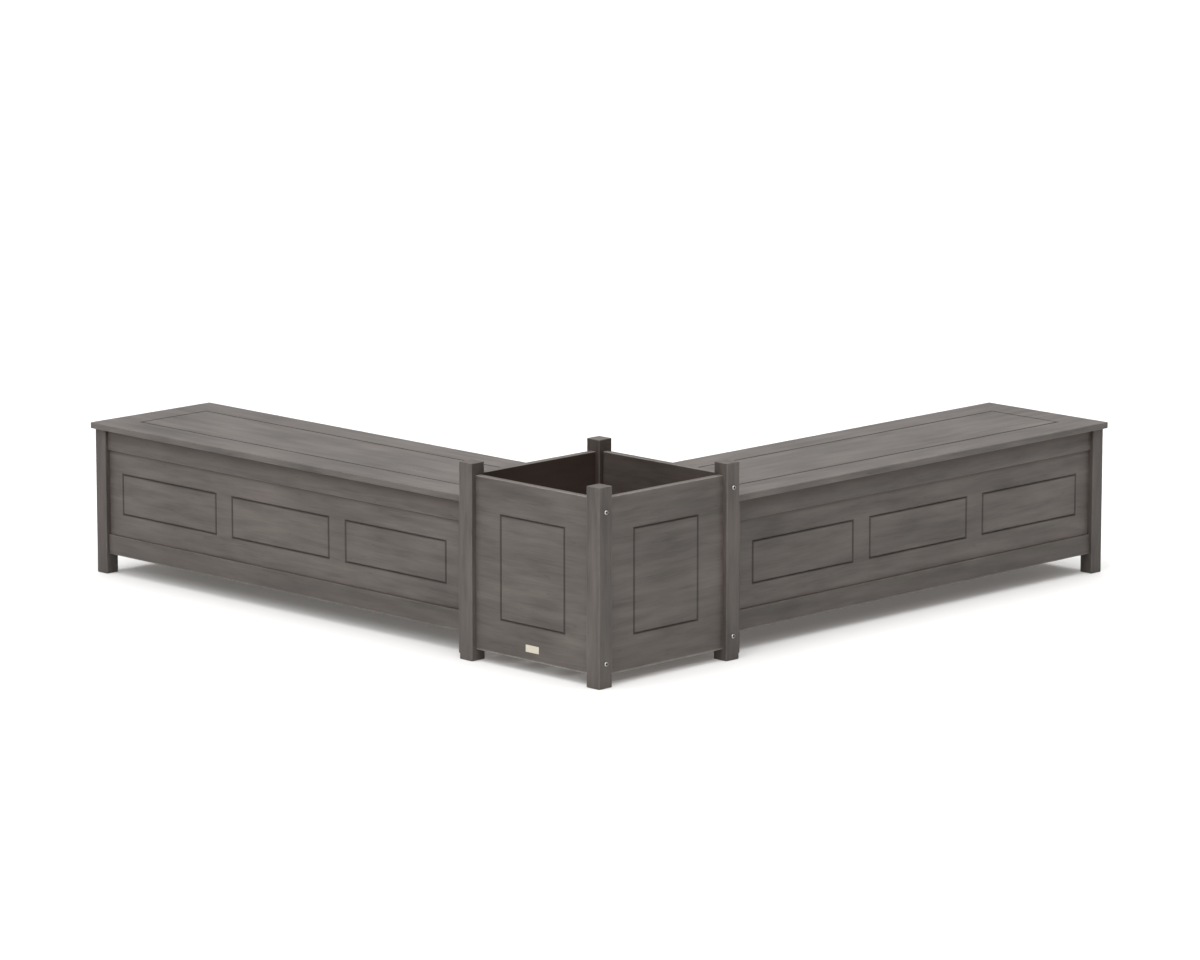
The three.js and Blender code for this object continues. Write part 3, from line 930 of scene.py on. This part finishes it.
@dataclass
class Planter(Carpentry):
    """The square planter: four posts, four grooved panels, the floor inside, bolts and a plate."""

    post_edge: float = 0.004
    post_end: float = 0.002
    panel_edge: float = 0.003
    panel_end: float = 0.0004
    groove_side_inset: float = 0.100
    groove_end_inset: float = 0.100
    plate_width: float = 0.052
    plate_height: float = 0.0205
    plate_thickness: float = 0.0012
    plate_corner: float = 0.0015
    plate_edge_share: float = 0.45
    plate_rise: float = 0.0255
    plate_bed: float = 0.0001
    post_tone: Colour = (0.87, 0.847, 0.828)
    # Painted highlight on the panels' edges and foot strip, and painted shade inside the planter and on the
    # rear post.
    panel_hem: float = 0.006
    rim_highlight: float = 0.65
    rim_highlight_colour: Colour = (0.33, 0.30, 0.275)
    inside_shade: float = 0.72
    sunny_inside_shade: float = 0.30
    rear_shade: float = 0.48
    slat_count: int = 4
    steel: Stainless = field(default_factory=Stainless)
    paint: PlatePaint = field(default_factory=PlatePaint)

    def build(self) -> None:
        """Make and dress every piece of the planter."""
        radii = board_radii(Z, self.post_end, self.post_edge)
        toned = self.lumber.toned(self.post_tone)
        # The rear post's -X and -Y sides get painted shade.
        shaded = {(X, -1): self.rear_shade, (Y, -1): self.rear_shade}
        for place, painted_shades in (("corner", {}), ("right", {}), ("left", {}), ("rear", shaded)):
            self.board(f"planter_post_{place}", Grain.ALONG_Z, radii, "post_lumber", painted_shades=painted_shades,
                       lumber=toned)
        self.panel("front_right", (Y, -1), self.inside_shade)
        self.panel("rear_left", (Y, 1), self.inside_shade)
        self.panel("front_left", (X, -1), self.inside_shade)
        self.panel("rear_right", (X, 1), self.sunny_inside_shade)
        for side in ("left", "right"):
            self.dress(f"planter_floor_cleat_{side}", Grain.ALONG_Y)
        for number in range(self.slat_count):
            self.dress(f"planter_floor_slat_{number + 1}", Grain.ALONG_X)
        for place in ("corner", "right", "left", "rear"):
            for height in ("low", "high"):
                self.bolt(f"planter_bolt_{place}_{height}")
        self.plate()

    def panel(self, place: str, outer: Side, painted_shade: float) -> None:
        """A panel with its groove rectangle.

        Args:
            place: the panel's place in its name.
            outer: its outer side.
            painted_shade: how strongly painted shade darkens its inner side.
        """
        node = f"planter_panel_{place}"
        axis, way = outer
        run = crossing(axis)
        low, high = node_box(node)
        start, stop = node_box("planter_post_corner")[1][run], node_box("planter_post_rear")[0][run]
        halves = {run: (stop - start) / 2 - self.groove_side_inset,
                  Z: (high[Z] - low[Z]) / 2 - self.groove_end_inset}
        first, second = face_axes(axis, way)
        groove = Groove((0.0, 0.0), (halves[first], halves[second]))
        # Panels' edges and foot strip get a painted highlight, and the grooves get painted shade.
        panel_highlighted = replace(self.lumber.toned(self.panel_tone), edge_wear_and_highlight=self.rim_highlight, wear_and_highlight=self.rim_highlight_colour,
                         recess_shade_share=self.groove_shade)
        self.board(node, grain_along(run), board_radii(run, self.panel_end, self.panel_edge), "panel_lumber",
                   {outer: [groove]}, {(axis, -way): painted_shade}, highlight_hem=self.panel_hem, lumber=panel_highlighted)

    def bolt(self, node: str) -> None:
        """A button-head bolt in the place of a solid, its head on the planter's outer side.

        Args:
            node: the solid's name.
        """
        low, high = node_box(node)
        centre = (low + high) / 2
        panel_low, panel_high = node_box("planter_panel_rear_right")
        facing = -1 if centre[Y] < (panel_low[Y] + panel_high[Y]) / 2 else 1
        shape = Bolt(head_radius=float(high[X] - low[X]) / 2, length=float(high[Y] - low[Y]))
        shell = shape.shell()
        shell.points[:, Y] *= -facing
        if facing > 0:
            shell.faces = [block[:, ::-1] for block in shell.faces]
        shell.points += np.array([centre[X], high[Y] if facing > 0 else low[Y], centre[Z]])
        piece = add_mesh(f"{node}_turned", shell, self.steel.material(node, Vector(centre)))
        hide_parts(node)

    def plate(self) -> None:
        """The small bare plate low on the panel that looks along -X."""
        low, high = node_box("planter_panel_front_left")
        middle = (low[Y] + high[Y]) / 2
        bottom = low[Z] + self.plate_rise
        back = low[X] - self.plate_bed
        corner = np.array([back - self.plate_thickness, middle - self.plate_width / 2, bottom])
        other = np.array([back, middle + self.plate_width / 2, bottom + self.plate_height])
        radii = (self.plate_thickness * self.plate_edge_share, self.plate_corner, self.plate_corner)
        shell = Block(corner, other, radii).shell()
        piece = add_mesh("planter_label_plate", shell, self.paint.material("label_plate"))


@dataclass
class Bench(Carpentry):
    """A backless bench: a grooved seat on legs, with panels framed by aprons and rails."""

    name: str = "right_bench"
    axis: int = X
    seat_corner: float = 0.004
    seat_edge: float = 0.0025
    leg_edge: float = 0.004
    leg_end: float = 0.002
    rail_edge: float = 0.0025
    sawn_edge: float = 0.0004
    seat_groove_inset: float = 0.107
    seat_groove_halo: float = 0.002
    groove_count: int = 3
    groove_spacing: float = 0.072
    groove_near_inset: float = 0.0675
    groove_far_inset: float = 0.0595
    groove_edge_inset: float = 0.0675
    leg_tone: Colour = (0.72, 0.70, 0.69)
    framing_tone: Colour = (0.89, 0.867, 0.848)
    rail_tone: Colour = (0.79, 0.77, 0.752)
    # Painted highlight on the rails' edges and foot strip; painted shade on the rails' tops and below the
    # top edges of legs, aprons and panels.
    rail_hem: float = 0.005
    rim_highlight: float = 0.35
    rim_highlight_colour: Colour = (0.26, 0.24, 0.225)
    ledge_shade: float = 0.7
    leg_fade: Pair = (0.5, 0.035)
    apron_fade: Pair = (0.7, 0.042)
    panel_fade: Pair = (0.95, 0.021)

    def build(self) -> None:
        """Make and dress every piece of the bench."""
        self.seat()
        # The legs get painted shade below their tops, under the seat.
        for end in ("near", "far"):
            for side in ("front", "back"):
                self.board(f"{self.name}_leg_{end}_{side}", Grain.ALONG_Z,
                           board_radii(Z, self.leg_end, self.leg_edge), "post_lumber",
                           shade_fades={(axis, way): self.leg_fade for axis in (X, Y) for way in (-1, 1)},
                           lumber=self.lumber.toned(self.leg_tone))
        for place in ("front", "back"):
            self.side(place, self.axis, self.groove_count)
        across = crossing(self.axis)
        self.side("end", across, 1)
        for part in ("apron", "rail"):
            self.board(f"{self.name}_planter_{part}", grain_along(across),
                       board_radii(across, self.sawn_edge, self.rail_edge), "board_lumber")
        for part in ("batten_1", "batten_2", "ledger"):
            self.dress(f"{self.name}_{part}", grain_along(across))

    def seat(self) -> None:
        """The seat board, with the groove rectangle in its top."""
        node = f"{self.name}_seat"
        low, high = node_box(node)
        half = (high - low) / 2 - self.seat_groove_inset
        first, second = face_axes(Z, 1)
        groove = Groove((0.0, 0.0), (half[first], half[second]), shade_halo=self.seat_groove_halo)
        self.board(node, grain_along(self.axis), (self.seat_corner, self.seat_corner, self.seat_edge),
                   "board_lumber", {(Z, 1): [groove]})

    def side(self, place: str, run: int, count: int) -> None:
        """Apron, rail and panel of one side of the bench.

        Args:
            place: the side's place in the names.
            run: the axis that the side runs along.
            count: number of groove rectangles on the panel.
        """
        node = f"{self.name}_{place}_panel"
        facing = crossing(run)
        low, high = node_box(node)
        seat_low, seat_high = node_box(f"{self.name}_seat")
        outer = (facing, 1 if low[facing] + high[facing] > seat_low[facing] + seat_high[facing] else -1)
        grain = grain_along(run)
        rounding = board_radii(run, self.sawn_edge, self.rail_edge)
        # Painted highlight on the rail's edges and foot, painted shade on its top, under the seat on the
        # apron and under the apron on the panel.
        rail_highlighted = replace(self.lumber.toned(self.rail_tone), edge_wear_and_highlight=self.rim_highlight, wear_and_highlight=self.rim_highlight_colour)
        self.board(f"{self.name}_{place}_apron", grain, rounding, "board_lumber",
                   shade_fades={outer: self.apron_fade}, lumber=self.lumber.toned(self.framing_tone))
        self.board(f"{self.name}_{place}_rail", grain, rounding, "board_lumber",
                   painted_shades={(Z, 1): self.ledge_shade}, highlight_hem=self.rail_hem, lumber=rail_highlighted)
        self.board(node, grain, (self.sawn_edge,) * 3, "panel_lumber",
                   {outer: self.side_grooves(place, run, outer, count)}, shade_fades={outer: self.panel_fade},
                   lumber=replace(self.lumber.toned(self.panel_tone), recess_shade_share=self.groove_shade))

    def side_grooves(self, place: str, run: int, outer: Side, count: int) -> list[Groove]:
        """The row of groove rectangles on one side's panel, halfway between apron and rail.

        Args:
            place: the side's place in the names.
            run: the axis that the side runs along.
            outer: the panel's outer side.
            count: number of rectangles.

        Returns:
            The grooves.
        """
        low, high = node_box(f"{self.name}_{place}_panel")
        rail_top = node_box(f"{self.name}_{place}_rail")[1][Z]
        apron_bottom = node_box(f"{self.name}_{place}_apron")[0][Z]
        near = self.groove_near_inset if run == self.axis else self.groove_far_inset
        bare = high[run] - low[run] - near - self.groove_far_inset
        length = (bare - (count - 1) * self.groove_spacing) / count
        centre = (near - self.groove_far_inset) / 2
        halves = {run: length / 2, Z: (apron_bottom - rail_top) / 2 - self.groove_edge_inset}
        rise = (apron_bottom + rail_top - low[Z] - high[Z]) / 2
        first, second = face_axes(*outer)
        grooves = []
        for number in range(count):
            middles = {run: centre + (number - (count - 1) / 2) * (length + self.groove_spacing), Z: rise}
            grooves.append(Groove((middles[first], middles[second]), (halves[first], halves[second])))
        return grooves


@dataclass
class Studio:
    """A pale floor, soft light from overhead, in front and behind, a weak key light and the camera.

    The camera's place and lens come from fitting the set's corners to the photograph.
    """

    camera_place: Triple = (-12.2335, -12.23155, 3.645)
    camera_pitch: float = 10.994
    camera_heading: float = 45.0
    focal_share: float = 5927.0 / 1200.0
    camera_sight: float = 240.0
    sensor_width: float = 36.0
    shift_across: float = 0.000625
    shift_up: float = 0.00025
    floor_half: float = 60.0
    floor_colour: Colour = (0.69, 0.69, 0.69)
    floor_roughness: float = 0.75
    floor_grit_scale: float = 40.0
    floor_grit_roughness: float = 0.1
    floor_sheen: float = 0.2
    floor_glow: float = 0.125
    floor_tint: Colour = (1.0, 0.94, 0.88)
    horizon: float = 0.07
    left_gain: float = 0.06
    front: float = 2.75
    front_turn: float = math.radians(12.0)
    front_sides: Pair = (0.45, 0.75)
    front_low: Pair = (0.35, 0.50)
    front_high: Pair = (0.82, 0.95)
    backdrop: float = 0.70
    backdrop_sides: Pair = (0.10, 0.70)
    backdrop_top: Pair = (0.70, 0.25)
    zenith: float = 4.2
    zenith_rim: Pair = (0.70, 0.97)
    key_strength: float = 0.60
    key_turn: Triple = (0.0, math.radians(-55.0), 0.0)
    key_angle: float = math.radians(40.0)

    def build(self) -> None:
        """Make the floor, the lights and the camera."""
        self.floor()
        self.sky()
        self.key()
        self.camera()
        bpy.context.scene.view_settings.view_transform = "Standard"

    def floor(self) -> None:
        """A wide floor at the height that the set stands on, which glows a little by itself."""
        edge = self.floor_half
        mesh = bpy.data.meshes.new("floor")
        corners = [(-edge, -edge, 0.0), (edge, -edge, 0.0), (edge, edge, 0.0), (-edge, edge, 0.0)]
        mesh.from_pydata(corners, [], [(0, 1, 2, 3)])
        material, graph = new_graph("floor_paint")
        grit = graph.noise(graph.placed(), self.floor_grit_scale)
        rough = self.floor_roughness + grit * self.floor_grit_roughness
        graph.surface({"Base Color": opaque(self.floor_colour), "Roughness": rough,
                       "Specular IOR Level": self.floor_sheen, "Emission Color": opaque(self.floor_tint),
                       "Emission Strength": self.floor_glow})
        mesh.materials.append(material)
        floor = bpy.data.objects.new("floor", mesh)
        bpy.context.scene.collection.objects.link(floor)

    def sky(self) -> None:
        """World light: a bright overhead, a softbox in front, and a dim backdrop behind the set.

        The softbox stands on the camera's side, a little to its left, and lights under the benches.
        """
        world = bpy.data.worlds.new("studio")
        world.use_nodes = True
        graph = Graph(world.node_tree)
        split = graph.node("ShaderNodeSeparateXYZ", None,
                           {"Vector": graph.wire("ShaderNodeTexCoord", "Generated")})
        x, y, z = (Wire(graph, output) for output in split.outputs)
        away = (x + y) * DIAGONAL
        left = (y - x) * DIAGONAL
        behind = away.between(*self.backdrop_sides) * z.between(*self.backdrop_top)
        towards = left * math.sin(self.front_turn) - away * math.cos(self.front_turn)
        softbox = (towards.between(*self.front_sides) * z.between(*self.front_low)
                   * (1.0 - z.between(*self.front_high)))
        strength = (self.horizon + left * self.left_gain + behind * self.backdrop + softbox * self.front
                    + z.between(*self.zenith_rim) * self.zenith)
        light = graph.wire("ShaderNodeBackground", "Background", None,
                           {"Color": opaque((1.0, 1.0, 1.0)), "Strength": strength})
        graph.node("ShaderNodeOutputWorld", None, {"Surface": light})
        bpy.context.scene.world = world

    def key(self) -> None:
        """A broad, weak key light from the front left."""
        lamp = bpy.data.lights.new("key", "SUN")
        lamp.energy = self.key_strength
        lamp.angle = self.key_angle
        key = bpy.data.objects.new("key", lamp)
        key.rotation_euler = Euler(self.key_turn)
        bpy.context.scene.collection.objects.link(key)

    def camera(self) -> None:
        """The photograph's camera: long lens, 11 degrees down, at 45 degrees to both benches."""
        data = bpy.data.cameras.new("camera")
        data.sensor_width = self.sensor_width
        data.lens = self.focal_share * self.sensor_width
        data.shift_x = self.shift_across
        data.shift_y = self.shift_up
        data.clip_end = self.camera_sight
        camera = bpy.data.objects.new("camera", data)
        camera.location = self.camera_place
        camera.rotation_euler = Euler((math.radians(90.0 - self.camera_pitch), 0.0,
                                       math.radians(-self.camera_heading)))
        bpy.context.scene.collection.objects.link(camera)
        bpy.context.scene.camera = camera


def main() -> None:
    """Build the studio and the set."""
    logging.basicConfig(level=logging.INFO, format="%(name)s: %(message)s")
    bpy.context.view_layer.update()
    Studio().build()
    Planter().build()
    Bench(name="right_bench", axis=X).build()
    Bench(name="left_bench", axis=Y).build()


if __name__ == "__main__":
    main()
